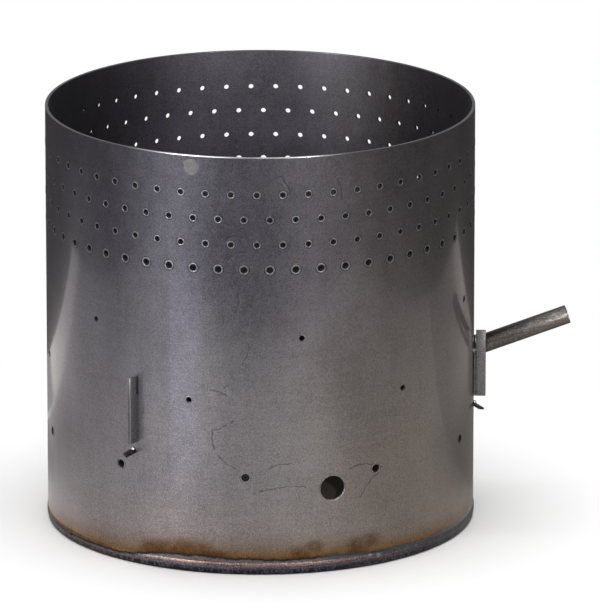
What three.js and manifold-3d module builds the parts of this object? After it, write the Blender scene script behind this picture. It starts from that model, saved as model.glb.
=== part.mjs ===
// Pot-type vaporising oil burner: a rolled and perforated steel pot with a welded floor, an oil
// inlet tube, three slotted standing brackets with a stop tab under each, and a loose spreader
// dish that lies on the floor and lifts out through the open top.
//
// Millimetres. +Z is up, and the origin is the centre of the floor's underside. An azimuth is
// counted in degrees round the pot: 0 is the front (-Y), and 90 is the inlet side (+X).

import * as THREE from 'three';
import { mergeVertices } from 'three/addons/utils/BufferGeometryUtils.js';
import Module from 'manifold-3d';

const wasm = await Module();
wasm.setup();

// ---------------------------------------------------------------- driving dimensions

const GAP = 0.3;                     // clearance between pieces that touch

// Pot
const POT_RADIUS = 107.95;           // outside radius of the wall, 8 1/2 in across
const POT_HEIGHT = 214.3;            // floor's underside to the rim, 8 7/16 in
const WALL = 1.6;                    // 16 gauge sheet
const FLOOR_THICKNESS = 3.2;
const FLOOR_INSET = 1.4;             // how far the floor's edge lies inside the wall's outside

// Air holes: four staggered rows under the rim
const HOLES_PER_ROW = 53;
const FIRST_HOLE_AZIMUTH = -0.9;
const AIR_ROWS = [
  { belowRim: 19.05, diameter: 2.6, staggered: false },
  { belowRim: 31.75, diameter: 2.6, staggered: true },
  { belowRim: 44.45, diameter: 2.6, staggered: false },
  { belowRim: 57.15, diameter: 3.2, staggered: true },
];

// Primary holes: three sparse rows lower down
const PRIMARY_ROWS = [
  { belowRim: 92.5, diameter: 2.8, count: 6, azimuth: 10.9 },
  { belowRim: 125.2, diameter: 2.8, count: 6, azimuth: -19.2 },
  { belowRim: 163.9, diameter: 4, count: 10, azimuth: -4 },
];

// Lighting hole
const LIGHTER_DIAMETER = 12.7;
const LIGHTER_AZIMUTH = 19.3;
const LIGHTER_HEIGHT = 43.3;

// Lengthwise weld of the rolled sheet, between two columns of air holes
const SEAM_COLUMN = 43.5;            // in half pitches from the first hole
const SEAM_SLIT = 1.6;
const SEAM_CAP_WIDTH = 3.2;
const SEAM_CAP_HEIGHT = 0.5;
const SEAM_END_SETBACK = 0.3;

// Weld round the foot of the pot. Its heights are shares of the floor's thickness.
const FLOOR_WELD_PROUD = 0.4;
const FLOOR_WELD_TOE = 0.03;
const FLOOR_WELD_HEEL = 0.08;
const FLOOR_WELD_BELLY = 0.3;
const FLOOR_WELD_BELLY_BACK = 0.1;   // how far the belly lies behind the crown
const FLOOR_WELD_CROWN = 0.6;

// Slotted brackets
const BRACKET_AZIMUTHS = [-34.9, 85.7, 205.7];
const BRACKET_THICKNESS = 1.9;
const BRACKET_REACH = 6.1;           // outward from the wall
const BRACKET_TOP = 97.8;
const BRACKET_HEIGHT = 34.3;
const SLOT_DEPTH = 9.6;
const SLOT_WIDTH = 1.2;              // between the wall and the bracket
const BRACKET_WELD_LEG = 1.3;
const BRACKET_WELD_FACE = 0.6;       // share of the leg left at the middle of its face

// Stop tabs: snipped tongues, each bent down by hand under its bracket. Droop is in degrees
// below level, drop is from the bracket's foot down to the tab's root, and reach is outward.
const TABS = [
  { droop: 5, drop: 4.4, reach: 9 },
  { droop: 31, drop: 3.2, reach: 6.6 },
  { droop: 18, drop: 3.8, reach: 7.6 },
];
const TAB_THICKNESS = 1.2;
const TAB_WIDTH = 3.7;
const TAB_SLANT = 2.6;               // how much shorter the tab is along one edge
const TAB_OFFSET = -1.7;             // sideways from the middle of the bracket
const TAB_WELD_RADIUS = 1.1;
const TAB_WELD_CENTRE = 0.4;         // outward from the wall, as a share of its radius

// Oil inlet
const TUBE_DIAMETER = 9.525;         // 3/8 in tube
const TUBE_WALL = 0.9;
const TUBE_HEIGHT = 86.7;            // where its axis meets the wall's outside
const TUBE_RISE = 20;                // degrees upwards, away from the pot
const TUBE_OUTSIDE = 47.2;           // sideways from the wall to the middle of its open end
const TUBE_INSIDE = 8;               // sideways past the wall's inside
const INLET_WELD_LEG = 1.7;
const INLET_WELD_WAIST = [0.5, 0.75]; // radially and along the tube, as shares of the leg
const INLET_TO_BRACKET = 0.38;       // between the inlet's weld and the second bracket's side

// Spreader dish
const SPREADER_RADIUS = 40;
const SPREADER_HEIGHT = 6.35;
const SPREADER_SHEET = 1.2;
const SPREADER_CORNER = 2.4;         // outside radius of its pressed edge
const SPREADER_HOLE = 12.7;          // lifting hole in the middle
const NOTCH_COUNT = 6;
const NOTCH_WIDTH = 6;
const NOTCH_HEIGHT = 2.5;

// How finely round shapes are faceted
const WALL_SIDES = 2 * HOLES_PER_ROW;
const TUBE_SIDES = 16;
const DISH_SIDES = 48;
const BIG_HOLE_SIDES = 24;
const SMALL_HOLE_SIDES = 6;
const NUGGET_SIDES = 10;
const NUGGET_RINGS = 6;
const CORNER_STEPS = 3;
const MARGIN = 2;                    // how far a cutter runs past what it cuts

// ---------------------------------------------------------------- derived places

const radians = THREE.MathUtils.degToRad;
const HALF_PITCH = 180 / HOLES_PER_ROW;
const INNER_RADIUS = POT_RADIUS - WALL;
const FLOOR_RADIUS = POT_RADIUS - FLOOR_INSET;
const WALL_FOOT = FLOOR_THICKNESS + GAP;
const SEAM_AZIMUTH = FIRST_HOLE_AZIMUTH + SEAM_COLUMN * HALF_PITCH;
const OUTSIDE_FACE = POT_RADIUS + GAP;
const BRACKET_FOOT = BRACKET_TOP - BRACKET_HEIGHT;
const INLET_WELD_RADIUS = TUBE_DIAMETER / 2 + GAP + INLET_WELD_LEG;
const INLET_BESIDE_BRACKET = BRACKET_THICKNESS / 2 + INLET_TO_BRACKET + INLET_WELD_RADIUS;
const TUBE_AZIMUTH = BRACKET_AZIMUTHS[1]
  + THREE.MathUtils.radToDeg(Math.asin(INLET_BESIDE_BRACKET / POT_RADIUS));

// A polygon with straight sides has less area than its circle, so a coarse hole is drawn a
// little larger to pass the same air.
const equalAreaRadius = (diameter, sides) => {
  const turn = 2 * Math.PI / sides;
  return diameter / 2 * Math.sqrt(turn / Math.sin(turn));
};

// ---------------------------------------------------------------- materials

const millSteel = new THREE.MeshStandardMaterial({ color: 0x5f5f62, roughness: 0.42, metalness: 0.85 });
const floorSteel = new THREE.MeshStandardMaterial({ color: 0x57534e, roughness: 0.5, metalness: 0.8 });
const bracketSteel = new THREE.MeshStandardMaterial({ color: 0x4a484b, roughness: 0.5, metalness: 0.8 });
const tubeSteel = new THREE.MeshStandardMaterial({ color: 0x5a5148, roughness: 0.35, metalness: 0.9 });
const weldMetal = new THREE.MeshStandardMaterial({ color: 0x3d3f48, roughness: 0.38, metalness: 0.9 });
const dishSteel = new THREE.MeshStandardMaterial({ color: 0x5d554c, roughness: 0.55, metalness: 0.75 });

// ---------------------------------------------------------------- solids

function toSolid(geometry) {
  const bare = geometry.clone();
  bare.deleteAttribute('normal');
  bare.deleteAttribute('uv');
  const merged = mergeVertices(bare, 1e-4);
  return new wasm.Manifold(new wasm.Mesh({
    numProp: 3,
    vertProperties: new Float32Array(merged.attributes.position.array),
    triVerts: new Uint32Array(merged.index.array),
  }));
}

function toGeometry(solid) {
  const mesh = solid.getMesh();
  const geometry = new THREE.BufferGeometry();
  geometry.setAttribute('position', new THREE.BufferAttribute(mesh.vertProperties, 3));
  geometry.setIndex(new THREE.BufferAttribute(mesh.triVerts, 1));
  geometry.computeVertexNormals();
  return geometry;
}

function cut(geometry, cutters) {
  let solid = toSolid(geometry);
  for (const cutter of cutters) solid = solid.subtract(toSolid(cutter));
  return toGeometry(solid);
}

// A ring or disc turned about Z from a profile of [radius, height] points. A ring's profile is
// closed here; a disc's starts and ends on the axis. Its first facet is centred on an azimuth.
function turned(profile, sides, azimuth = 0) {
  const onAxis = profile[0][0] === 0;
  const points = (onAxis ? profile : [...profile, profile[0]]).map(([r, z]) => new THREE.Vector2(r, z));
  const geometry = new THREE.LatheGeometry(points, sides);
  geometry.rotateX(Math.PI / 2);
  geometry.rotateZ(radians(azimuth - 180 / sides));
  return geometry;
}

// A rod with flat ends along +X, centred at a distance from the Z axis and turned to an azimuth
function radialRod(radius, length, distance, sides, azimuth, height) {
  const rod = new THREE.CylinderGeometry(radius, radius, length, sides);
  rod.rotateZ(Math.PI / 2);
  rod.translate(distance, 0, height);
  rod.rotateZ(radians(azimuth - 90));
  return rod;
}

// A plate whose outline lies in the X-Z plane, with its thickness across Y
function uprightPlate(shape, thickness) {
  const plate = new THREE.ExtrudeGeometry(shape, {
    depth: thickness, bevelEnabled: false, curveSegments: CORNER_STEPS * 2,
  });
  plate.rotateX(Math.PI / 2);
  plate.translate(0, thickness / 2, 0);
  return plate;
}

const shapeOf = (points) => new THREE.Shape(points.map(([x, y]) => new THREE.Vector2(x, y)));

// The space of the wall and of the clearance round it
function wallClearance() {
  const half = POT_HEIGHT / 2;
  const column = [[0, -half], [OUTSIDE_FACE, -half], [OUTSIDE_FACE, half], [0, half]];
  return turned(column, WALL_SIDES, FIRST_HOLE_AZIMUTH).translate(0, 0, half);
}

// ---------------------------------------------------------------- pieces

function airHoles() {
  const middle = (POT_RADIUS + INNER_RADIUS) / 2;
  const holes = [];
  for (const row of AIR_ROWS) {
    const radius = equalAreaRadius(row.diameter, SMALL_HOLE_SIDES);
    const start = FIRST_HOLE_AZIMUTH + (row.staggered ? HALF_PITCH : 0);
    for (let i = 0; i < HOLES_PER_ROW; i += 1) {
      const azimuth = start + 2 * HALF_PITCH * i;
      const height = POT_HEIGHT - row.belowRim;
      holes.push(radialRod(radius, WALL + MARGIN, middle, SMALL_HOLE_SIDES, azimuth, height));
    }
  }
  return holes;
}

function primaryHoles() {
  const middle = (POT_RADIUS + INNER_RADIUS) / 2;
  const holes = [];
  for (const row of PRIMARY_ROWS) {
    const radius = equalAreaRadius(row.diameter, SMALL_HOLE_SIDES);
    for (let i = 0; i < row.count; i += 1) {
      const azimuth = row.azimuth + 360 / row.count * i;
      const height = POT_HEIGHT - row.belowRim;
      holes.push(radialRod(radius, WALL + MARGIN, middle, SMALL_HOLE_SIDES, azimuth, height));
    }
  }
  return holes;
}

function lighterHole() {
  const middle = (POT_RADIUS + INNER_RADIUS) / 2;
  const radius = LIGHTER_DIAMETER / 2;
  return radialRod(radius, WALL + MARGIN * 2, middle, BIG_HOLE_SIDES, LIGHTER_AZIMUTH, LIGHTER_HEIGHT);
}

function seamSlit() {
  const slit = new THREE.BoxGeometry(WALL + MARGIN * 2, SEAM_SLIT, POT_HEIGHT + MARGIN);
  slit.translate((POT_RADIUS + INNER_RADIUS) / 2, 0, POT_HEIGHT / 2);
  slit.rotateZ(radians(SEAM_AZIMUTH - 90));
  return slit;
}

// Lays a shape drawn along +Z, with z = 0 where the axis meets the wall, on the inlet's axis
function alongInlet(geometry) {
  geometry.rotateY(radians(90 - TUBE_RISE));
  geometry.translate(POT_RADIUS, 0, TUBE_HEIGHT);
  geometry.rotateZ(radians(TUBE_AZIMUTH - 90));
  return geometry;
}

function inletHole() {
  const radius = TUBE_DIAMETER / 2 + GAP;
  const hole = new THREE.CylinderGeometry(radius, radius, TUBE_DIAMETER * 2, TUBE_SIDES);
  hole.rotateX(Math.PI / 2);
  return alongInlet(hole);
}

function potShell() {
  const wall = turned([
    [INNER_RADIUS, WALL_FOOT], [POT_RADIUS, WALL_FOOT],
    [POT_RADIUS, POT_HEIGHT], [INNER_RADIUS, POT_HEIGHT],
  ], WALL_SIDES, FIRST_HOLE_AZIMUTH);
  return cut(wall, [...airHoles(), ...primaryHoles(), lighterHole(), seamSlit(), inletHole()]);
}

function potFloor() {
  return turned([[0, 0], [FLOOR_RADIUS, 0], [FLOOR_RADIUS, FLOOR_THICKNESS], [0, FLOOR_THICKNESS]],
    WALL_SIDES, FIRST_HOLE_AZIMUTH);
}

// Rounded bead that fills the corner between the floor's edge and the foot of the wall
function floorWeld() {
  const inside = FLOOR_RADIUS + GAP;
  const crown = POT_RADIUS + FLOOR_WELD_PROUD;
  return turned([
    [inside, FLOOR_THICKNESS * FLOOR_WELD_HEEL],
    [POT_RADIUS - FLOOR_WELD_PROUD, FLOOR_THICKNESS * FLOOR_WELD_TOE],
    [crown - FLOOR_WELD_BELLY_BACK, FLOOR_THICKNESS * FLOOR_WELD_BELLY],
    [crown, FLOOR_THICKNESS * FLOOR_WELD_CROWN],
    [POT_RADIUS, FLOOR_THICKNESS], [inside, FLOOR_THICKNESS],
  ], WALL_SIDES, FIRST_HOLE_AZIMUTH);
}

// Bead that fills the slit, with a cap outside and a root inside, each wider than the slit
function seamWeld() {
  const neck = SEAM_SLIT / 2 - GAP;
  const cap = SEAM_CAP_WIDTH / 2;
  const inside = INNER_RADIUS - GAP;
  const section = shapeOf([
    [inside - SEAM_CAP_HEIGHT, -neck], [inside, -cap], [inside, -neck],
    [OUTSIDE_FACE, -neck], [OUTSIDE_FACE, -cap], [OUTSIDE_FACE + SEAM_CAP_HEIGHT, -neck],
    [OUTSIDE_FACE + SEAM_CAP_HEIGHT, neck], [OUTSIDE_FACE, cap], [OUTSIDE_FACE, neck],
    [inside, neck], [inside, cap], [inside - SEAM_CAP_HEIGHT, neck],
  ]);
  const length = POT_HEIGHT - WALL_FOOT - 2 * SEAM_END_SETBACK;
  const bead = new THREE.ExtrudeGeometry(section, { depth: length, bevelEnabled: false });
  return bead.translate(0, 0, WALL_FOOT + SEAM_END_SETBACK);
}

// Upright plate with an open slot between its upper part and the wall
function bracket() {
  const shape = new THREE.Shape();
  const outside = POT_RADIUS + BRACKET_REACH;
  const slotFace = POT_RADIUS + SLOT_WIDTH;
  const slotFoot = BRACKET_TOP - SLOT_DEPTH;
  shape.moveTo(OUTSIDE_FACE, BRACKET_FOOT);
  shape.lineTo(outside, BRACKET_FOOT);
  shape.lineTo(outside, BRACKET_TOP);
  shape.lineTo(slotFace, BRACKET_TOP);
  shape.lineTo(slotFace, slotFoot);
  shape.lineTo(OUTSIDE_FACE, slotFoot);
  return uprightPlate(shape, BRACKET_THICKNESS);
}

// Fillet on one side of a bracket's root, below its slot
function bracketWeld() {
  const length = BRACKET_HEIGHT - SLOT_DEPTH - 2 * BRACKET_WELD_LEG;
  const root = [OUTSIDE_FACE, -BRACKET_THICKNESS / 2 - GAP];
  const section = shapeOf([
    root, [root[0], root[1] - BRACKET_WELD_LEG],
    [root[0] + BRACKET_WELD_LEG * BRACKET_WELD_FACE, root[1] - BRACKET_WELD_LEG * BRACKET_WELD_FACE],
    [root[0] + BRACKET_WELD_LEG, root[1]],
  ]);
  const bead = new THREE.ExtrudeGeometry(section, { depth: length, bevelEnabled: false });
  return bead.translate(0, 0, BRACKET_FOOT + BRACKET_WELD_LEG);
}

// Moves a shape whose x runs out along a tab, from the wall, and whose top is z = 0, into place
function alongTab(geometry, tab) {
  geometry.rotateY(radians(tab.droop));
  return geometry.translate(POT_RADIUS, TAB_OFFSET, BRACKET_FOOT - tab.drop);
}

// Tongue with a slanting end, bent down by its droop and trimmed to the wall's curve
function stopTab(tab) {
  const half = TAB_WIDTH / 2;
  const outline = shapeOf([
    [-MARGIN, -half], [tab.reach - TAB_SLANT, -half], [tab.reach, half], [-MARGIN, half],
  ]);
  const tongue = new THREE.ExtrudeGeometry(outline, { depth: TAB_THICKNESS, bevelEnabled: false });
  tongue.translate(0, 0, -TAB_THICKNESS);
  return cut(alongTab(tongue, tab), [wallClearance()]);
}

// Nugget in the corner between a tab's top and the wall
function tabWeld(tab) {
  const nugget = new THREE.SphereGeometry(TAB_WELD_RADIUS, NUGGET_SIDES, NUGGET_RINGS);
  nugget.translate(TAB_WELD_RADIUS * TAB_WELD_CENTRE, 0, GAP);
  const trim = 2 * (TAB_WELD_RADIUS + MARGIN);
  const under = new THREE.BoxGeometry(trim, trim, trim);
  under.translate(0, 0, GAP - trim / 2);
  return cut(alongTab(nugget, tab), [alongTab(under, tab), wallClearance()]);
}

function inletTube() {
  const outer = TUBE_DIAMETER / 2;
  const bore = outer - TUBE_WALL;
  const slope = Math.cos(radians(TUBE_RISE));
  const inEnd = -(WALL + TUBE_INSIDE) / slope;
  const outEnd = TUBE_OUTSIDE / slope;
  return alongInlet(turned([[bore, inEnd], [outer, inEnd], [outer, outEnd], [bore, outEnd]], TUBE_SIDES));
}

// Fillet round the tube, trimmed to the wall's curve
function inletWeld() {
  const inside = TUBE_DIAMETER / 2 + GAP;
  const spread = INLET_WELD_RADIUS * Math.tan(radians(TUBE_RISE)) + MARGIN;
  const collar = turned([
    [inside, -spread], [INLET_WELD_RADIUS, -spread],
    [INLET_WELD_RADIUS, 0],
    [inside + INLET_WELD_LEG * INLET_WELD_WAIST[0], INLET_WELD_LEG * INLET_WELD_WAIST[1]],
    [inside, spread],
  ], TUBE_SIDES);
  return cut(alongInlet(collar), [wallClearance()]);
}

// Shallow inverted dish: a flat top with a lifting hole, and a rim turned down to the floor
function spreader() {
  const top = SPREADER_HEIGHT;
  const hole = SPREADER_HOLE / 2;
  const innerCorner = SPREADER_CORNER - SPREADER_SHEET;
  const centre = [SPREADER_RADIUS - SPREADER_CORNER, top - SPREADER_CORNER];
  const arc = (radius) => Array.from({ length: CORNER_STEPS + 1 }, (unused, i) => {
    const angle = i / CORNER_STEPS * Math.PI / 2;
    return [centre[0] + radius * Math.cos(angle), centre[1] + radius * Math.sin(angle)];
  });
  const dish = turned([
    [SPREADER_RADIUS - SPREADER_SHEET, 0], [SPREADER_RADIUS, 0],
    ...arc(SPREADER_CORNER), [hole, top], [hole, top - SPREADER_SHEET],
    ...arc(innerCorner).reverse(),
  ], DISH_SIDES);
  const notches = Array.from({ length: NOTCH_COUNT }, (unused, i) => {
    const notch = new THREE.BoxGeometry(SPREADER_SHEET + MARGIN * 2, NOTCH_WIDTH, NOTCH_HEIGHT * 2);
    notch.translate(SPREADER_RADIUS - SPREADER_SHEET / 2, 0, 0);
    return notch.rotateZ(2 * Math.PI * (i + 0.5) / NOTCH_COUNT);
  });
  return cut(dish, notches);
}

// ---------------------------------------------------------------- assembly

function piece(name, geometry, material) {
  const mesh = new THREE.Mesh(geometry, material);
  mesh.name = name;
  return mesh;
}

// What is fastened at one azimuth, drawn with +X pointing out from the pot
function atAzimuth(azimuth, pieces) {
  const group = new THREE.Group();
  group.rotation.z = radians(azimuth - 90);
  group.add(...pieces);
  return group;
}

const burner = new THREE.Group();

burner.add(piece('pot_shell', potShell(), millSteel));
burner.add(piece('pot_floor', potFloor(), floorSteel));
burner.add(piece('floor_weld', floorWeld(), weldMetal));
burner.add(atAzimuth(SEAM_AZIMUTH, [piece('seam_weld', seamWeld(), weldMetal)]));

BRACKET_AZIMUTHS.forEach((azimuth, i) => {
  const number = i + 1;
  burner.add(atAzimuth(azimuth, [
    piece(`bracket_${number}`, bracket(), bracketSteel),
    piece(`bracket_weld_${number}`, bracketWeld(), weldMetal),
    piece(`stop_tab_${number}`, stopTab(TABS[i]), bracketSteel),
    piece(`tab_weld_${number}`, tabWeld(TABS[i]), weldMetal),
  ]));
});

burner.add(piece('inlet_tube', inletTube(), tubeSteel));
burner.add(piece('inlet_weld', inletWeld(), weldMetal));

const dish = piece('spreader', spreader(), dishSteel);
dish.position.z = FLOOR_THICKNESS + GAP;
burner.add(dish);

export default burner;
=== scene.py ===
"""Looks for the pot of a vaporising oil burner: rolled steel, punched holes and weld metal."""

import math
from functools import reduce

import bmesh
import bpy
from mathutils import Matrix, Vector


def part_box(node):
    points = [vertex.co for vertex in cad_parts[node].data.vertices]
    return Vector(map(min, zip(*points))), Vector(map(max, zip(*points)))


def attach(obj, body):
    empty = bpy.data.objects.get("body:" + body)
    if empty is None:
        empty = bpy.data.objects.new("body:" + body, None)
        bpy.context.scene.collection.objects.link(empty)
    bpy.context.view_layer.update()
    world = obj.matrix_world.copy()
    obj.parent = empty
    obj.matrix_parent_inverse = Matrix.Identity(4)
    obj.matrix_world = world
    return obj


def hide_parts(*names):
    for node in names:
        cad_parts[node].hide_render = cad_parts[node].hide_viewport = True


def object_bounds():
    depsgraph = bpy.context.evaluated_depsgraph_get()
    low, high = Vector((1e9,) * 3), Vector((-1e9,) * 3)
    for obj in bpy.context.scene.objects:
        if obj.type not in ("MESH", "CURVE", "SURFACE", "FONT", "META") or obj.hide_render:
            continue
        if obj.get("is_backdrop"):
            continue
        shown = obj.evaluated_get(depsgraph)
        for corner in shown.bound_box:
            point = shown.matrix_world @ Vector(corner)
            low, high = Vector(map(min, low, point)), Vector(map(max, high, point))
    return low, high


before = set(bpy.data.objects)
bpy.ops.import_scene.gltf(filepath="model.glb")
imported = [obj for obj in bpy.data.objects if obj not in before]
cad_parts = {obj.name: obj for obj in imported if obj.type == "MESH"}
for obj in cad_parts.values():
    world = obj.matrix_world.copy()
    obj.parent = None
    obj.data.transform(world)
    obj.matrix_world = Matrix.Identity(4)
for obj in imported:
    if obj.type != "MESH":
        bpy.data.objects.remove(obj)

CAD_LOW, CAD_HIGH = (list(corner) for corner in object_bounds())

# ---------------- sizes, in metres

MM = 0.001
SHELL_LOW, SHELL_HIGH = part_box("pot_shell")
RADIUS = 107.95 * MM
WALL = 1.6 * MM
FOOT = SHELL_LOW.z
RIM = SHELL_HIGH.z

HOLES_PER_ROW = 53
PITCH = 360 / HOLES_PER_ROW
FIRST_HOLE = -0.9
# Rows of holes: millimetres below the rim, diameter, how many, azimuth of the first
AIR_ROWS = [(19.05, 2.6, HOLES_PER_ROW, FIRST_HOLE), (31.75, 2.6, HOLES_PER_ROW, FIRST_HOLE + 0.5 * PITCH),
            (44.45, 2.6, HOLES_PER_ROW, FIRST_HOLE), (57.15, 3.2, HOLES_PER_ROW, FIRST_HOLE + 0.5 * PITCH)]
PRIMARY_ROWS = [(92.5, 2.8, 6, 10.9), (125.2, 2.8, 6, -19.2), (163.9, 4.0, 10, -4.0)]
LIGHTER = {"azimuth": 19.3, "height": 43.3 * MM, "hole": 12.7 * MM}
SEAM_AZIMUTH = FIRST_HOLE + 43.5 * PITCH / 2

BRACKETS = [-34.9, 85.7, 205.7]
BRACKET = {"thick": 1.9 * MM, "reach": 6.1 * MM, "slot": 1.2 * MM, "slot_deep": 9.6 * MM}
TABS = [{"droop": 5, "drop": 4.4 * MM, "reach": 9.0 * MM},
        {"droop": 31, "drop": 3.2 * MM, "reach": 6.6 * MM},
        {"droop": 18, "drop": 3.8 * MM, "reach": 7.6 * MM}]
TAB = {"thick": 1.2 * MM, "wide": 3.7 * MM, "slant": 2.6 * MM, "aside": -1.7 * MM}
TUBE = {"radius": 4.7625 * MM, "wall": 0.9 * MM, "height": 86.7 * MM, "rise": 20.0,
        "azimuth": 90.0, "out": 47.2 * MM, "in": 9.6 * MM}
DISH = {"radius": 40 * MM, "sheet": 1.2 * MM, "corner": 2.4 * MM, "hole": 12.7 * MM,
        "notch": 6 * MM, "notch_high": 2.5 * MM}
WALL_CUTS = (70, 110, 145)    # below the rim, where the wall's long faces are divided

# Lips of the holes: share of the hole's radius, millimetres out of the wall, and scuffing with painted
# highlight (1 gives a bright crest, 0 a skirt painted dark as shade)
PUNCHED = [(1.85, -0.05, 0), (1.7, 0.03, 0.2), (1.4, 0.07, 1), (1.15, 0.08, 1), (1.0, 0.0, 0),
           (0.97, -1.45, 0)]
DRILLED = [(1.5, -0.05, 0), (1.22, 0.05, 1), (1.1, 0.06, 1), (1.0, 0.0, 0), (0.98, -1.45, 0)]
REAMED = [(1.075, -0.05, 0.4), (1.03, 0.07, 1), (0.995, -0.1, 1), (0.985, -1.5, 1)]

# Foot weld: its section as millimetres out of the wall and up, and the lumps where it stops and
# starts as azimuth, height and reach
BEAD_START = (-1.3, 0.35)
BEAD_SECTION = [(-0.75, 0.12), (-0.25, 0.35), (0.05, 0.9), (0.2, 1.7), (0.34, 2.7), (0.42, 3.7),
                (0.4, 4.6), (0.28, 5.4), (0.1, 6.0), (-0.15, 6.5)]
BEAD_RIPPLES = 412
WELD_ENDS = [(33.6, 4.6, 3.0), (31.0, 5.6, 2.2), (153.0, 4.4, 2.8), (-62.0, 4.2, 2.4)]


# ---------------- workshop habits

def pick_only(piece):
    """Makes one piece the only one selected and worked on."""
    bpy.ops.object.select_all(action="DESELECT")
    piece.select_set(True)
    bpy.context.view_layer.objects.active = piece


def fresh(name):
    """Names the piece just added."""
    piece = bpy.context.active_object
    piece.name = name
    piece.data.name = name
    return piece


def settle(piece):
    """Puts a piece's place, turn and size into its mesh."""
    pick_only(piece)
    bpy.ops.object.transform_apply(location=True, rotation=True, scale=True)
    return piece


def open_up(piece):
    """Starts work on a piece's mesh, which close_up ends."""
    pick_only(piece)
    bpy.ops.object.mode_set(mode="EDIT")


def select_everything():
    """In edit mode, selects every corner, edge and face."""
    bpy.ops.mesh.select_all(action="SELECT")


def close_up():
    """Ends work on the open piece's mesh."""
    bpy.ops.object.mode_set(mode="OBJECT")


def close_facing_out():
    """Turns every face of the open piece outwards, then ends the work on its mesh."""
    select_everything()
    bpy.ops.mesh.normals_make_consistent(inside=False)
    close_up()


def draw_on(move, scale):
    """In edit mode, draws the selected ring on by a move and scales it about the origin."""
    bpy.ops.mesh.extrude_region_move(TRANSFORM_OT_translate={"value": move})
    bpy.ops.transform.resize(value=scale, center_override=(0, 0, 0))


def mark(piece, kind, test):
    """In edit mode, selects only the corners, edges or faces that pass the test."""
    bpy.ops.mesh.select_mode(type=kind)
    bpy.ops.mesh.select_all(action="DESELECT")
    shape = bmesh.from_edit_mesh(piece.data)
    parts = {"VERT": shape.verts, "EDGE": shape.edges, "FACE": shape.faces}[kind]
    for part in parts:
        if test(part):
            part.select_set(True)
    shape.select_flush_mode()
    bmesh.update_edit_mesh(piece.data)


def middle(part):
    """Middle of an edge or face."""
    return sum((v.co for v in part.verts), Vector()) / len(part.verts)


def finish_with(piece, kind, **settings):
    """Adds a modifier and applies it."""
    pick_only(piece)
    modifier = piece.modifiers.new(kind.title(), kind)
    for key, value in settings.items():
        setattr(modifier, key, value)
    bpy.ops.object.modifier_apply(modifier=modifier.name)


def smooth(piece, angle):
    """Shades a piece smooth except over its corners, which are sharper than an angle."""
    pick_only(piece)
    bpy.ops.object.shade_smooth_by_angle(angle=math.radians(angle))
    return piece


def smooth_all(piece):
    """Shades a piece smooth, corners and all."""
    pick_only(piece)
    bpy.ops.object.shade_smooth()
    return piece


def round_shading(piece):
    """Shades the faces of a round wall as truly round, however its holes have split them."""
    mesh = piece.data
    corners = [corner.vector.copy() for corner in mesh.corner_normals]
    for face in mesh.polygons:
        for i in face.loop_indices:
            place = mesh.vertices[mesh.loops[i].vertex_index].co
            outward = Vector((place.x, place.y, 0)).normalized()
            outwards = outward.dot(face.normal)
            if abs(outwards) > 0.99:
                corners[i] = outward * math.copysign(1, outwards)
    mesh.normals_split_custom_set(corners)


def turned_to(azimuth):
    """Turn that swings a thing drawn along +X round to an azimuth, 0 being the front."""
    return Matrix.Rotation(math.radians(azimuth - 90), 4, "Z")


def copies(pattern, places, name):
    """One mesh from copies of a pattern, each with its own mesh, set at the given places."""
    made = []
    for place in places:
        twin = bpy.data.objects.new(name, pattern.data.copy())
        bpy.context.scene.collection.objects.link(twin)
        twin.matrix_world = place
        made.append(twin)
    bpy.ops.object.select_all(action="DESELECT")
    for twin in made:
        twin.select_set(True)
    bpy.context.view_layer.objects.active = made[0]
    bpy.ops.object.join()
    return settle(fresh(name))


def block(name, place, size):
    """Plain block of bar, sawn to size."""
    bpy.ops.mesh.primitive_cube_add(size=1, location=place)
    bar = fresh(name)
    bar.scale = size
    return settle(bar)


def scrap(piece):
    """Throws away a piece that was only a tool."""
    bpy.data.objects.remove(piece, do_unlink=True)


def cut_away(piece, cutter):
    """Cuts a tool's shape out of a piece."""
    finish_with(piece, "BOOLEAN", operation="DIFFERENCE", solver="EXACT", object=cutter)
    scrap(cutter)


def lay_lumps(piece, name, size, strength, level):
    """Makes weld metal uneven with soft lumps."""
    texture = bpy.data.textures.new(name, "CLOUDS")
    texture.noise_scale = size
    finish_with(piece, "DISPLACE", texture=texture, strength=strength, mid_level=level)


def fit(piece, body, slot, paint, *nodes):
    """Gives a finished piece its paint and its body, and hides the CAD nodes that it stands for."""
    piece.data.materials.clear()
    piece.data.materials.append(paint)
    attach(piece, body)
    if nodes:
        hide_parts(*nodes)
    return piece


# ---------------- pieces of the pot

def on_wall(azimuth, height):
    """Point on the outside of the wall, for marks that lie on it."""
    turn = math.radians(azimuth)
    return (RADIUS * math.sin(turn), -RADIUS * math.cos(turn), height * MM)


def holes(rows):
    """Where each hole of some rows is, as (azimuth, height, diameter)."""
    return [(start + 360 / count * i, RIM - below * MM, across * MM)
            for below, across, count, start in rows for i in range(count)]


def at_hole(azimuth, height, across):
    """Place of a pattern drawn for a hole 1 unit across, with +X pointing out of the wall."""
    place = turned_to(azimuth) @ Matrix.Translation((RADIUS, 0, height))
    return place @ Matrix.Diagonal((1, across, across, 1))


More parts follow.
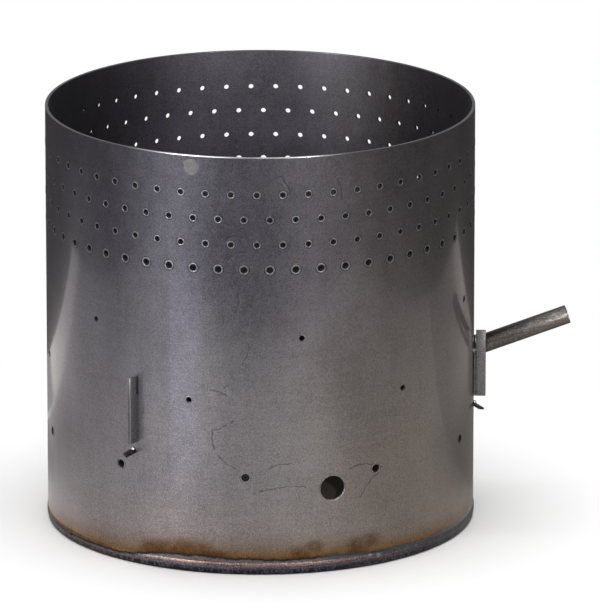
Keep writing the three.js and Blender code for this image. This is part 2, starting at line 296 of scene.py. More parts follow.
def rolled_wall():
    """The wall: a tall ring, given its thickness, with its edges rounded and its holes cut."""
    bpy.ops.mesh.primitive_cylinder_add(vertices=8 * HOLES_PER_ROW, radius=RADIUS, depth=RIM - FOOT,
                                        end_fill_type="NOTHING", location=(0, 0, (RIM + FOOT) / 2))
    wall = settle(fresh("rolled_wall"))
    finish_with(wall, "SOLIDIFY", thickness=WALL, offset=-1.0, use_rim=True)
    open_up(wall)
    for below in WALL_CUTS:
        select_everything()
        bpy.ops.mesh.bisect(plane_co=(0, 0, RIM - below * MM), plane_no=(0, 0, 1))
    mark(wall, "EDGE", lambda e: all(abs(v.co.z - RIM) < 1e-6 for v in e.verts)
         and abs(e.verts[0].co.xy.length - e.verts[1].co.xy.length) < 1e-5)
    bpy.ops.mesh.bevel(offset=0.28 * MM, segments=2, affect="EDGES")
    close_up()

    bpy.ops.mesh.primitive_cylinder_add(vertices=20, radius=0.5, depth=6 * WALL,
                                        rotation=(0, math.pi / 2, 0))
    drill = settle(fresh("drill"))
    cut_away(wall, copies(drill, [at_hole(*h) for h in holes(AIR_ROWS + PRIMARY_ROWS)], "drills"))
    scrap(drill)
    bpy.ops.mesh.primitive_cylinder_add(vertices=64, radius=0.5, depth=8 * WALL,
                                        rotation=(0, math.pi / 2, 0))
    big = settle(fresh("big_drill"))
    lighter = at_hole(LIGHTER["azimuth"], LIGHTER["height"], LIGHTER["hole"])
    tube = along_inlet() @ Matrix.Diagonal((2 * TUBE["radius"], 2 * TUBE["radius"], 4, 1))
    tube = tube @ Matrix.Rotation(math.pi / 2, 4, "Y")
    cut_away(wall, copies(big, [lighter, tube], "big_drills"))
    scrap(big)
    round_shading(smooth(wall, 25))
    return wall


def hole_lips(name, places, section, sides=16):
    """Raised lips that a punch or drill leaves round holes: one lip, copied to every hole.
    The section runs inwards, as (share of the hole's radius, millimetres out of the wall, scuffing with
    painted highlight), and that last value is kept on the lip for its paint to read."""
    share, level = section[0][:2]
    bpy.ops.mesh.primitive_circle_add(vertices=sides, radius=0.5 * share, fill_type="NOTHING",
                                      rotation=(0, math.pi / 2, 0), location=(level * MM, 0, 0))
    lip = settle(fresh("lip"))
    open_up(lip)
    select_everything()
    for new_share, new_level, _ in section[1:]:
        shrink = new_share / share
        draw_on(((new_level - level) * MM, 0, 0), (1, shrink, shrink))
        share, level = new_share, new_level
    close_facing_out()
    crest_shine = lip.data.attributes.new("wear_and_highlight", "FLOAT", "POINT")
    for corner, kept in zip(lip.data.vertices, crest_shine.data):
        kept.value = min(section, key=lambda s: abs(s[0] / 2 - corner.co.yz.length)
                         + abs(s[1] * MM - corner.co.x) / MM)[2]
    rows = copies(lip, [at_hole(*h) for h in places], name)
    scrap(lip)
    return smooth_all(rows)


def foot_bead():
    """Weld bead round the foot: a rounded band drawn up in steps, then pressed into ripples."""
    sides = 4 * BEAD_RIPPLES
    size, level = RADIUS + BEAD_START[0] * MM, BEAD_START[1] * MM
    bpy.ops.mesh.primitive_circle_add(vertices=sides, radius=size, fill_type="NOTHING",
                                      location=(0, 0, level))
    bead = settle(fresh("foot_bead"))
    open_up(bead)
    select_everything()
    for out, up in BEAD_SECTION:
        new_size, new_level = RADIUS + out * MM, up * MM
        share = new_size / size
        draw_on((0, 0, new_level - level), (share, share, 1))
        size, level = new_size, new_level

    def valley(v):
        column = math.atan2(v.co.y, v.co.x) / (2 * math.pi) * sides
        return round(column - 0.6 * abs(v.co.z - 3 * MM) / MM) % 4 == 0 and 0.6 * MM < v.co.z < 5.9 * MM

    mark(bead, "VERT", valley)
    press = 1 - 0.09 * MM / RADIUS
    bpy.ops.transform.resize(value=(press, press, 1), center_override=(0, 0, 0))
    for azimuth, height, reach in WELD_ENDS:
        lump = Vector(on_wall(azimuth, height))
        for share in (1.0, 0.75, 0.5, 0.25):
            mark(bead, "VERT", lambda v: (v.co - lump).length < reach * share * MM)
            push = lump.xy.normalized() * 0.2 * MM
            bpy.ops.transform.translate(value=(push.x, push.y, 0.1 * MM * share))
    close_facing_out()
    lay_lumps(bead, "bead_lumps", 5 * MM, 0.2 * MM, 0.75)
    lay_lumps(bead, "bead_spatter", 1.3 * MM, 0.16 * MM, 0.6)
    return smooth_all(bead)


def seam_bead():
    """Stacked nuggets of the lengthwise weld, one nugget repeated up the wall."""
    step = 1.5 * MM
    count = int((RIM - FOOT - 3 * MM) / step)
    bpy.ops.mesh.primitive_uv_sphere_add(segments=12, ring_count=6, radius=1.6 * MM)
    bead = fresh("seam_bead")
    bead.scale = (0.22, 1.0, 0.85)
    settle(bead)
    finish_with(bead, "ARRAY", count=count, use_relative_offset=False, use_constant_offset=True,
                constant_offset_displace=(0, 0, step))
    bead.matrix_world = turned_to(SEAM_AZIMUTH) @ Matrix.Translation((RADIUS, 0, FOOT + 2 * MM))
    settle(bead)
    lay_lumps(bead, "seam_lumps", 6 * MM, 0.2 * MM, 0.7)
    return smooth_all(bead)


def bracket(number):
    """Upright plate: a block whose outer half is drawn up beside its slot."""
    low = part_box(f"bracket_{number}")[0].z
    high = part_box(f"bracket_{number}")[1].z
    root, outside = RADIUS - 0.15 * MM, RADIUS + BRACKET["reach"]
    shelf = high - BRACKET["slot_deep"]
    plate = block(f"slotted_bracket_{number}", ((root + outside) / 2, 0, (low + shelf) / 2),
                  (outside - root, BRACKET["thick"], shelf - low))
    open_up(plate)
    select_everything()
    bpy.ops.mesh.bisect(plane_co=(RADIUS + BRACKET["slot"], 0, 0), plane_no=(1, 0, 0))
    mark(plate, "FACE", lambda f: f.normal.z > 0.9 and middle(f).x > RADIUS + BRACKET["slot"])
    bpy.ops.mesh.extrude_region_move(TRANSFORM_OT_translate={"value": (0, 0, high - shelf)})
    mark(plate, "EDGE", lambda e: len(e.link_faces) == 2 and e.calc_face_angle(0) > 1
         and middle(e).x > root + 0.3 * MM)
    bpy.ops.mesh.bevel(offset=0.18 * MM, segments=2, affect="EDGES")
    close_up()
    plate.matrix_world = turned_to(BRACKETS[number - 1])
    return smooth(settle(plate), 30)


def stop_tab(number):
    """Snipped tongue with a slanting end, bent down at its root."""
    bend = TABS[number - 1]
    root = -0.5 * MM
    tongue = block(f"bent_tab_{number}", ((bend["reach"] + root) / 2, 0, -TAB["thick"] / 2),
                   (bend["reach"] - root, TAB["wide"], TAB["thick"]))
    open_up(tongue)
    mark(tongue, "VERT", lambda v: v.co.x > 0 and v.co.y < 0)
    bpy.ops.transform.translate(value=(-TAB["slant"], 0, 0))
    mark(tongue, "EDGE", lambda e: e.calc_face_angle(0) > 1 and middle(e).x > root + 0.1 * MM)
    bpy.ops.mesh.bevel(offset=0.16 * MM, segments=2, affect="EDGES")
    close_up()
    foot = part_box(f"bracket_{number}")[0].z - bend["drop"]
    droop = Matrix.Rotation(math.radians(bend["droop"]), 4, "Y")
    tongue.matrix_world = (turned_to(BRACKETS[number - 1])
                           @ Matrix.Translation((RADIUS, TAB["aside"], foot)) @ droop)
    return smooth(settle(tongue), 30)


def along_inlet():
    """Place of a thing drawn along +Z, with z = 0 where the inlet's axis meets the wall."""
    lean = Matrix.Rotation(math.radians(90 - TUBE["rise"]), 4, "Y")
    return turned_to(TUBE["azimuth"]) @ Matrix.Translation((RADIUS, 0, TUBE["height"])) @ lean


def inlet_tube():
    """Seamless tube: a rod with both ends inset, opened and bridged into a bore."""
    slope = math.cos(math.radians(TUBE["rise"]))
    low, high = -TUBE["in"] / slope, TUBE["out"] / slope
    bpy.ops.mesh.primitive_cylinder_add(vertices=48, radius=TUBE["radius"] - 0.03 * MM, depth=high - low,
                                        location=(0, 0, (low + high) / 2))
    tube = settle(fresh("oil_inlet_tube"))
    open_up(tube)
    mark(tube, "FACE", lambda f: abs(f.normal.z) > 0.9)
    bpy.ops.mesh.inset(thickness=TUBE["wall"])
    mark(tube, "FACE", lambda f: abs(f.normal.z) > 0.9 and len(f.verts) > 8)
    bpy.ops.mesh.delete(type="FACE")
    mark(tube, "EDGE", lambda e: e.is_boundary)
    bpy.ops.mesh.bridge_edge_loops()
    mark(tube, "EDGE", lambda e: len(e.link_faces) == 2 and e.calc_face_angle(0) > 1)
    bpy.ops.mesh.bevel(offset=0.16 * MM, segments=2, affect="EDGES")
    close_facing_out()
    tube.matrix_world = along_inlet()
    return smooth(settle(tube), 30)


def weld_copy(name, node, grain, swell, lump):
    """Weld metal with soft, uneven edges, worked from the plain shape of its CAD node."""
    bpy.ops.object.select_all(action="DESELECT")
    weld = bpy.data.objects.new(name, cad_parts[node].data.copy())
    bpy.context.scene.collection.objects.link(weld)
    open_up(weld)
    select_everything()
    bpy.ops.mesh.remove_doubles(threshold=0.001 * MM)
    close_up()
    finish_with(weld, "REMESH", mode="VOXEL", voxel_size=grain)
    finish_with(weld, "SMOOTH", factor=0.5, iterations=3)
    finish_with(weld, "DISPLACE", strength=swell, mid_level=0.0)
    lay_lumps(weld, name, lump, 0.25 * MM, 0.5)
    return smooth_all(weld)


def spreader_dish():
    """Shallow pressed dish, upside down on the floor, with a lifting hole and notches below."""
    low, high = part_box("spreader")[0].z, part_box("spreader")[1].z
    bpy.ops.mesh.primitive_cylinder_add(vertices=144, radius=DISH["radius"] - 0.1 * MM, depth=high - low,
                                        location=(0, 0, (low + high) / 2))
    dish = settle(fresh("spreader_dish"))
    open_up(dish)
    mark(dish, "FACE", lambda f: f.normal.z < -0.9)
    bpy.ops.mesh.delete(type="FACE")
    mark(dish, "EDGE", lambda e: all(abs(v.co.z - high) < 1e-6 for v in e.verts))
    bpy.ops.mesh.bevel(offset=DISH["corner"], segments=6, affect="EDGES")
    mark(dish, "FACE", lambda f: f.normal.z > 0.99 and len(f.verts) > 8)
    bpy.ops.mesh.inset(thickness=DISH["radius"] - DISH["corner"] - DISH["hole"] / 2)
    mark(dish, "FACE", lambda f: f.normal.z > 0.99 and len(f.verts) > 8)
    bpy.ops.mesh.delete(type="FACE")
    close_up()
    finish_with(dish, "SOLIDIFY", thickness=DISH["sheet"], offset=-1.0, use_rim=True)
    notch = block("notch", (0, 0, 0), (DISH["sheet"] * 4, DISH["notch"], DISH["notch_high"] * 2))
    places = [Matrix.Rotation(math.radians(60 * i + 30), 4, "Z")
              @ Matrix.Translation((DISH["radius"], 0, low)) for i in range(6)]
    cut_away(dish, copies(notch, places, "notches"))
    scrap(notch)
    finish_with(dish, "BEVEL", width=0.12 * MM, segments=1, limit_method="ANGLE",
                angle_limit=math.radians(50))
    return smooth(dish, 30)


# ---------------- paint: node sheets

class Sheet:
    """A node sheet being filled in: adds nodes and joins them by name."""

    def __init__(self, tree):
        self.tree = tree

    def add(self, kind, **settings):
        node = self.tree.nodes.new(kind)
        for key, value in settings.items():
            if key in node.inputs:
                self.feed(node.inputs[key], value)
            else:
                setattr(node, key, value)
        return node

    def feed(self, socket, value):
        if isinstance(value, bpy.types.NodeSocket):
            self.tree.links.new(value, socket)
        else:
            socket.default_value = value

    def math(self, operation, first, second=0.0, clamp=False):
        node = self.tree.nodes.new("ShaderNodeMath")
        node.operation = operation
        node.use_clamp = clamp
        self.feed(node.inputs[0], first)
        self.feed(node.inputs[1], second)
        return node.outputs[0]

    def times(self, *amounts):
        return reduce(lambda one, other: self.math("MULTIPLY", one, other), amounts)

    def plus(self, *amounts):
        return reduce(lambda one, other: self.math("ADD", one, other), amounts)

    def highest(self, *amounts):
        return reduce(lambda one, other: self.math("MAXIMUM", one, other), amounts)

    def unless(self, amount):
        """What an amount leaves of 1."""
        return self.math("SUBTRACT", 1.0, amount)

    def swing(self, noise, reach):
        """Noise made to swing to both sides of nothing, over a reach in all."""
        return self.times(self.math("SUBTRACT", noise, 0.5), reach)

    def vector(self, operation, first, second=None):
        """Vector sum. A length, distance or dot product comes out as one number."""
        node = self.tree.nodes.new("ShaderNodeVectorMath")
        node.operation = operation
        self.feed(node.inputs[0], first)
        if second is not None:
            self.feed(node.inputs[1], second)
        one_number = operation in ("LENGTH", "DISTANCE", "DOT_PRODUCT")
        return node.outputs["Value" if one_number else "Vector"]

    def along(self, axis, place):
        return self.add("ShaderNodeSeparateXYZ", Vector=place).outputs["XYZ".index(axis)]

    def ramp(self, value, low, high, floor=0.0, ceiling=1.0):
        """Value remapped smoothly from low..high to floor..ceiling, held at both ends."""
        node = self.tree.nodes.new("ShaderNodeMapRange")
        node.interpolation_type = "SMOOTHSTEP"
        for socket, amount in zip(node.inputs[:5], (value, low, high, floor, ceiling)):
            self.feed(socket, amount)
        return node.outputs[0]

    def mix(self, share, first, second, blend="MIX"):
        node = self.tree.nodes.new("ShaderNodeMix")
        node.data_type = "RGBA"
        node.blend_type = blend
        for socket, value in zip((node.inputs[0], node.inputs[6], node.inputs[7]),
                                 (share, first, second)):
            self.feed(socket, (*value, 1) if isinstance(value, tuple) else value)
        return node.outputs[2]

    def tinge(self, share, colour, tint):
        """Colour multiplied by a tint, over some share of it."""
        return self.mix(share, colour, self.mix(1.0, colour, tint, "MULTIPLY"))

    def noise(self, place, stretch, detail=2.0, roughness=0.5):
        """Noise whose grain is about 1/stretch metres along each axis."""
        stretch = stretch if isinstance(stretch, tuple) else (stretch,) * 3
        mapped = self.add("ShaderNodeMapping", Vector=place, Scale=stretch).outputs[0]
        return self.add("ShaderNodeTexNoise", Vector=mapped, Scale=1.0, Detail=detail,
                        Roughness=roughness).outputs[0]


def new_group(name, takes, gives):
    """Empty shader group with named inputs and outputs. Returns its sheet, inputs and outputs."""
    tree = bpy.data.node_groups.new(name, "ShaderNodeTree")
    for label, kind, value in takes:
        socket = tree.interface.new_socket(name=label, in_out="INPUT", socket_type=kind)
        if value is not None:
            socket.default_value = value
    for label, kind in gives:
        tree.interface.new_socket(name=label, in_out="OUTPUT", socket_type=kind)
    sheet = Sheet(tree)
    return sheet, sheet.add("NodeGroupInput").outputs, sheet.add("NodeGroupOutput").inputs


def use(sheet, group, **settings):
    """Places a shared effect in a sheet with this material's own values."""
    node = sheet.tree.nodes.new("ShaderNodeGroup")
    node.node_tree = group
    for key, value in settings.items():
        sheet.feed(node.inputs[key], value)
    return node.outputs


def facing(sheet, place, azimuth):
    """How squarely a place on the wall faces an azimuth, 1 being exactly so."""
    return sheet.vector("DOT_PRODUCT", place, turned_to(azimuth).col[0].xyz / RADIUS)


# ---------------- paint: shared effects

FLOAT, COLOUR, VECTOR = "NodeSocketFloat", "NodeSocketColor", "NodeSocketVector"

HEAT_REACH = 40 * MM     # how far up from the foot the heat colours run
# The pale steps from 0.110 to 0.145 are a painted highlight along the bead's upper edge, not heat colour.
HEAT_COLOURS = [         # share of that reach, and the tint of the metal there
    (0.0, (0.48, 0.47, 0.53)), (0.066, (0.52, 0.50, 0.57)), (0.092, (0.92, 0.56, 0.38)),
    (0.110, (0.84, 0.64, 0.55)), (0.126, (0.84, 0.90, 0.93)), (0.145, (0.66, 0.70, 0.73)),
    (0.156, (0.24, 0.22, 0.21)), (0.168, (0.08, 0.065, 0.05)), (0.186, (0.72, 0.40, 0.14)),
    (0.21, (1.0, 0.60, 0.22)), (0.265, (1.05, 0.80, 0.52)), (0.36, (1.06, 0.93, 0.80)),
    (0.52, (1.06, 1.02, 0.98)), (1.0, (1.0, 1.0, 1.0))]
BLUED_AZIMUTH = 62
SCORCHES = [             # azimuth, height and size of each, in degrees and millimetres
    (-30, 9.5, 9), (-25.5, 10, 11.5), (-21, 10.5, 12), (-16, 9.5, 12.5), (-11.5, 9, 8),
    (10.5, 10.5, 9), (14, 14, 8), (26.5, 12, 10), (30, 13.5, 9.5),
    (74, 11, 9), (118, 12, 11), (160, 11, 12), (199, 12, 9), (242, 11, 12), (266, 10, 8)]
SCORCH_FLATNESS = Vector((1, 1, 1.5))


def mill_grain_group():
    """Rolled sheet: clouds, long faint streaks, fine speckle and the tiny relief they leave."""
    sheet, takes, gives = new_group(
        "mill_grain",
        [("Place", VECTOR, None), ("Dark", COLOUR, (0.1, 0.1, 0.1, 1)),
         ("Light", COLOUR, (0.3, 0.3, 0.3, 1)), ("Roughness", FLOAT, 0.4), ("Speckle", FLOAT, 0.5)],
        [("Colour", COLOUR), ("Roughness", FLOAT), ("Relief", FLOAT)])
    place = takes["Place"]
    clouds = sheet.noise(place, (22, 22, 14), 4, 0.6)
    streaks = sheet.noise(place, (230, 230, 12), 3, 0.7)
    bands = sheet.noise(place, (30, 30, 520), 2)
    mottle = sheet.noise(place, (240, 240, 180), 3, 0.6)
    sand = sheet.noise(place, 1500, 1)
    speckle = sheet.noise(place, 2600, 2, 0.7)
    pits = sheet.ramp(sheet.noise(place, 620, 2, 0.6), 0.66, 0.74)
    grit = sheet.swing(speckle, takes["Speckle"])
    tone = sheet.plus(sheet.times(clouds, 0.45), sheet.times(streaks, 0.09), sheet.times(bands, 0.08),
                      sheet.times(mottle, 0.09), 0.145,
                      sheet.times(sheet.swing(sand, takes["Speckle"]), 0.8), grit)
    shade = sheet.mix(sheet.ramp(tone, 0.25, 0.75), takes["Dark"], takes["Light"])
    pitted = sheet.times(pits, takes["Speckle"], 0.6)
    sheet.feed(gives["Colour"], sheet.tinge(pitted, shade, (0.35, 0.35, 0.35)))
    rough = sheet.plus(takes["Roughness"], sheet.swing(mottle, 0.10))
    sheet.feed(gives["Roughness"], sheet.math("ADD", rough, sheet.times(grit, 0.35), clamp=True))
    sheet.feed(gives["Relief"], sheet.plus(sheet.times(speckle, 0.6), sheet.times(bands, 0.5),
                                           sheet.times(mottle, 0.6), sand))
    return sheet.tree


def heat_tint_group():
    """Colours that welding leaves: grey scale on the bead, then straw and brown that fade upwards, with a
    pale grey-blue band that is a painted highlight along the bead's upper edge. Towards one side the bead
    has turned blue, and over its stops and starts the wall is scorched."""
    sheet, takes, gives = new_group(
        "heat_tint",
        [("Place", VECTOR, None), ("Metal", COLOUR, (0.2, 0.2, 0.2, 1)), ("Wander", FLOAT, 1.0)],
        [("Colour", COLOUR), ("Heat", FLOAT)])
    place = takes["Place"]
    fine = sheet.noise(place, 300, 3, 0.6)
    drift = sheet.plus(sheet.swing(sheet.noise(place, 20, 3, 0.6), 5 * MM), sheet.swing(fine, 2.2 * MM))
    lower_at_left = sheet.ramp(facing(sheet, place, -70), 0.66, 0.90, 0.0, 2.4 * MM)
    # Raises the bands in front, so that the painted highlight band lies just above the bead there.
    higher_in_front = sheet.ramp(facing(sheet, place, -4), 0.77, 0.94, 0.0, -1.5 * MM)
    level = sheet.plus(sheet.along("Z", place), sheet.times(drift, takes["Wander"]), lower_at_left,
                       higher_in_front)
    share = sheet.ramp(level, 0.0, HEAT_REACH)
    share.node.interpolation_type = "LINEAR"
    scale = sheet.add("ShaderNodeValToRGB", Fac=share)
    points = scale.color_ramp.elements
    while len(points) < len(HEAT_COLOURS):
        points.new(0.5)
    for point, (at, colour) in zip(points, HEAT_COLOURS):
        point.position = at
        point.color = (*colour, 1)
    ring = sheet.ramp(sheet.noise(place, 26, 2), 0.56, 0.66, 0.0, 0.6)
    blue = sheet.highest(sheet.ramp(facing(sheet, place, BLUED_AZIMUTH), 0.84, 0.93), ring)
    blue = sheet.times(blue, sheet.ramp(level, 3.0 * MM, 5.0 * MM),
                       sheet.ramp(level, 7.8 * MM, 6.8 * MM))
    tint = sheet.mix(blue, scale.outputs[0], (0.44, 0.51, 0.57))
    tinted = sheet.mix(1.0, takes["Metal"], tint, "MULTIPLY")
    flattened = sheet.vector("MULTIPLY", place, SCORCH_FLATNESS)
    ragged = sheet.times(drift, 2.6)
    scorch = 0.0
    for azimuth, up, size in SCORCHES:
        gap = sheet.vector("DISTANCE", flattened, Vector(on_wall(azimuth, up)) * SCORCH_FLATNESS)
        spot = sheet.ramp(sheet.plus(gap, ragged), size * MM, 0.25 * size * MM)
        scorch = sheet.highest(scorch, spot)
    mottled = sheet.ramp(fine, 0.25, 0.7, 0.45, 1.0)
    above = sheet.ramp(level, 6.4 * MM, 7.6 * MM)
    scorch = sheet.times(scorch, mottled, above, 0.95)
    sheet.feed(gives["Colour"], sheet.tinge(scorch, tinted, (0.44, 0.29, 0.10)))
    sheet.feed(gives["Heat"], sheet.ramp(level, 22 * MM, 6 * MM))
    return sheet.tree


def scratch_group():
    """One curved scratch: part of a thin circle drawn about a point on the surface."""
    sheet, takes, gives = new_group(
        "scratch",
        [("Place", VECTOR, None), ("Wobble", FLOAT, 0.0), ("Middle", VECTOR, (0, 0, 0)),
         ("Reach", FLOAT, 0.01), ("Width", FLOAT, 0.0003), ("Way", VECTOR, (0, 0, 1)),
         ("Spread", FLOAT, 0.5)],
        [("Mask", FLOAT)])
    away = sheet.vector("SUBTRACT", takes["Place"], takes["Middle"])
    off = sheet.math("SUBTRACT", sheet.vector("LENGTH", away), takes["Reach"])
    off = sheet.math("ABSOLUTE", sheet.plus(off, takes["Wobble"]))
    line = sheet.math("SUBTRACT", 1.0, sheet.math("DIVIDE", off, takes["Width"]), clamp=True)
    turned = sheet.vector("DOT_PRODUCT", sheet.vector("NORMALIZE", away), takes["Way"])
    part = sheet.math("GREATER_THAN", turned, takes["Spread"])
    sheet.feed(gives["Mask"], sheet.times(line, part))
    return sheet.tree


GRAIN, HEAT, SCRATCH = mill_grain_group(), heat_tint_group(), scratch_group()


# ---------------- paint: materials

def new_metal(name, dark, light, rough, speckle, metal=0.9, film=0.0):
    """Metal paint with the shared grain. Returns it with its sheet, shader, place and grain."""
    paint = bpy.data.materials.new(name)
    paint.use_nodes = True
    sheet = Sheet(paint.node_tree)
    shader = paint.node_tree.nodes["Principled BSDF"]
    shader.inputs["Metallic"].default_value = metal
    shader.inputs["Coat Weight"].default_value = film
    shader.inputs["Coat Roughness"].default_value = 0.09
    place = sheet.add("ShaderNodeTexCoord").outputs["Object"]
    grain = use(sheet, GRAIN, Place=place, Dark=(*dark, 1), Light=(*light, 1), Roughness=rough,
                Speckle=speckle)
    return paint, sheet, shader, place, grain


def finish_metal(sheet, shader, grain, colour, rough=None, relief=None, depth=0.05 * MM, strength=0.6):
    """Joins colour, roughness and relief to the shader. The last two are the grain's if not given."""
    sheet.feed(shader.inputs["Base Color"], colour)
    sheet.feed(shader.inputs["Roughness"], grain["Roughness"] if rough is None else rough)
    bump = sheet.add("ShaderNodeBump", Height=grain["Relief"] if relief is None else relief,
                     Distance=depth, Strength=strength)
    sheet.feed(shader.inputs["Normal"], bump.outputs[0])


def plain_metal(name, dark, light, rough, speckle):
    """Sheet or bar steel with nothing but the shared grain."""
    paint, sheet, shader, place, grain = new_metal(name, dark, light, rough, speckle)
    finish_metal(sheet, shader, grain, grain["Colour"])
    return paint


def scored(start, end, bow, width):
    """Arc of a scratch from one (azimuth, millimetres up) to another, bowed to its left side.
    Returns its middle, reach, width, way and spread, as the scratch effect takes them."""
    across = math.radians(end[0] - start[0]) * RADIUS / MM
    up = end[1] - start[1]
    half = math.hypot(across, up) / 2
    reach = (half * half + bow * bow) / (2 * bow)
    side = Vector((-up, across)).normalized()
    back = side * (reach - bow)
    azimuth = (start[0] + end[0]) / 2 - math.degrees(back.x * MM / RADIUS)
    height = (start[1] + end[1]) / 2 - back.y
    turn = math.radians(azimuth)
    way = (math.cos(turn) * side.x, math.sin(turn) * side.x, side.y)
    return on_wall(azimuth, height), reach * MM, width * MM, way, (reach - bow) / reach


WALL_SCRATCHES = [scored(*mark) for mark in [
    ((-15.5, 197), (-11.5, 181), 0.6, 0.646), ((-13.5, 190), (-8.0, 178), 0.8, 1.275),
    ((-12.5, 201), (-9.5, 194), 0.5, 0.765), ((-9.5, 181), (-7.5, 178.5), 0.4, 1.36),
    ((-9.5, 171), (-4.5, 173), 2.2, 0.935), ((-8.5, 161), (-4.0, 166), 1.6, 1.02),
    ((-6.0, 158), (-2.5, 156), 1.0, 1.275), ((-8.0, 163), (-6.5, 154), 1.0, 0.765),
    ((-6.2, 146), (-6.6, 133), 1.0, 0.935), ((-6.2, 144), (-3.0, 146), 0.5, 0.68),
    ((-13.5, 95), (-9.0, 92), 0.6, 0.85), ((-9.5, 96), (-8.0, 98), 0.4, 0.765),
    ((-7.0, 80), (-12.5, 74), 0.7, 0.85), ((-6.5, 55), (-12.6, 75), 4.5, 0.68),
    ((2.0, 55), (9.0, 57), 1.0, 0.595), ((-2.0, 42), (12.0, 45), 1.5, 0.51),
    ((24.0, 52), (34.0, 50), 2.5, 0.595), ((27.0, 36), (33.0, 48), 1.2, 0.51),
    ((5.0, 205), (8.0, 196), 0.6, 0.765), ((20.0, 205), (22.0, 188), 1.0, 0.595),
    ((-3.0, 120), (-5.0, 108), 1.0, 0.595), ((96.0, 150), (106.0, 118), 5.0, 0.68),
    ((128.0, 70), (140.0, 88), 3.0, 0.68), ((168.0, 120), (176.0, 84), 6.0, 0.68),
    ((214.0, 60), (226.0, 66), 1.5, 0.68), ((250.0, 150), (262.0, 132), 2.5, 0.765)]]
DRIP = on_wall(-18.4, 208.5)
# Painted highlight: the pale stripe stands for the left edge of a lamp's reflection.
HIGHLIGHT_EDGE = -24.8      # azimuth at which the pale streak starts


def rolled_colour(sheet, place, height, metal):
    """The rolled sheet's colour: cooler and darker above, partly a painted reflection of dark
    surroundings; warmer below; with painted shade over the upper part of one lamp's highlight, a painted
    highlight stripe, and painted light low on the right and far to the left.
    """
    level = sheet.plus(height, sheet.times(sheet.noise(place, (9, 9, 5), 3), 0.09))
    upper = sheet.ramp(level, 100 * MM, 220 * MM)
    # Cooler and darker above: partly the steel's tone, partly a painted reflection of dark surroundings.
    colour = sheet.tinge(upper, metal, (0.67, 0.68, 0.77))
    colour = sheet.tinge(sheet.ramp(level, 140 * MM, 50 * MM), colour, (0.93, 0.90, 0.87))
    # Painted shade over the upper part of the left lamp's highlight.
    shade_on_highlight = sheet.times(sheet.ramp(facing(sheet, place, -27), 0.90, 0.985), upper)
    colour = sheet.tinge(shade_on_highlight, colour, (0.79, 0.80, 0.78))
    # Painted highlight: a pale, ticked stripe at the left edge of the left lamp's reflection.
    past_edge = facing(sheet, place, 90 + HIGHLIGHT_EDGE)
    highlight_stripe = sheet.times(sheet.ramp(past_edge, 0.0, 0.010), sheet.ramp(past_edge, 0.21, 0.06),
                         sheet.ramp(facing(sheet, place, -20), 0.0, 0.3),
                         sheet.ramp(height, 172 * MM, 135 * MM), sheet.ramp(height, 35 * MM, 60 * MM))
    ticks = sheet.ramp(sheet.noise(place, (380, 380, 1300), 2), 0.52, 0.62, 0.0, 0.35)
    colour = sheet.tinge(highlight_stripe, colour, sheet.mix(ticks, (1.06, 1.07, 1.15), (1.5, 1.52, 1.62)))
    side = sheet.plus(sheet.along("X", place), sheet.times(sheet.noise(place, 16, 2), 0.05))
    hue = sheet.mix(sheet.ramp(side, -20 * MM, 100 * MM), (0.99, 0.945, 1.0), (1.0, 0.945, 0.89))
    colour = sheet.mix(1.0, colour, hue, "MULTIPLY")
    # Painted light: lighter patches low on the right and far to the left stand for reflections.
    lighter_low_right = sheet.times(sheet.ramp(height, 62 * MM, 22 * MM), sheet.ramp(side, 45 * MM, -30 * MM))
    colour = sheet.tinge(lighter_low_right, colour, (1.18, 1.17, 1.17))
    far_left = sheet.times(sheet.ramp(height, 34 * MM, 14 * MM), sheet.ramp(side, -45 * MM, -80 * MM))
    return sheet.tinge(far_left, colour, (1.22, 1.20, 1.20))


def scratches(sheet, place, wobble):
    """Where the wall is scratched, in broken lines."""
    marks = 0.0
    for centre, reach, width, way, spread in WALL_SCRATCHES:
        mask = use(sheet, SCRATCH, Place=place, Wobble=wobble, Middle=centre, Reach=reach,
                   Width=width, Way=way, Spread=spread)["Mask"]
        marks = sheet.highest(marks, mask)
    return sheet.times(marks, sheet.ramp(sheet.noise(place, 420, 2), 0.28, 0.42))


def stained(sheet, place, wobble, colour):
    """Small stains all over, and one pale dried drip."""
    stains = sheet.ramp(sheet.noise(place, 160, 4, 0.7), 0.68, 0.80, 0.0, 0.35)
    colour = sheet.mix(stains, colour, (0.06, 0.055, 0.055))
    ragged = sheet.plus(sheet.vector("DISTANCE", place, DRIP), sheet.times(wobble, 0.8))
    return sheet.mix(sheet.ramp(ragged, 4.6 * MM, 3.4 * MM, 0.0, 0.20), colour, (0.30, 0.27, 0.23))


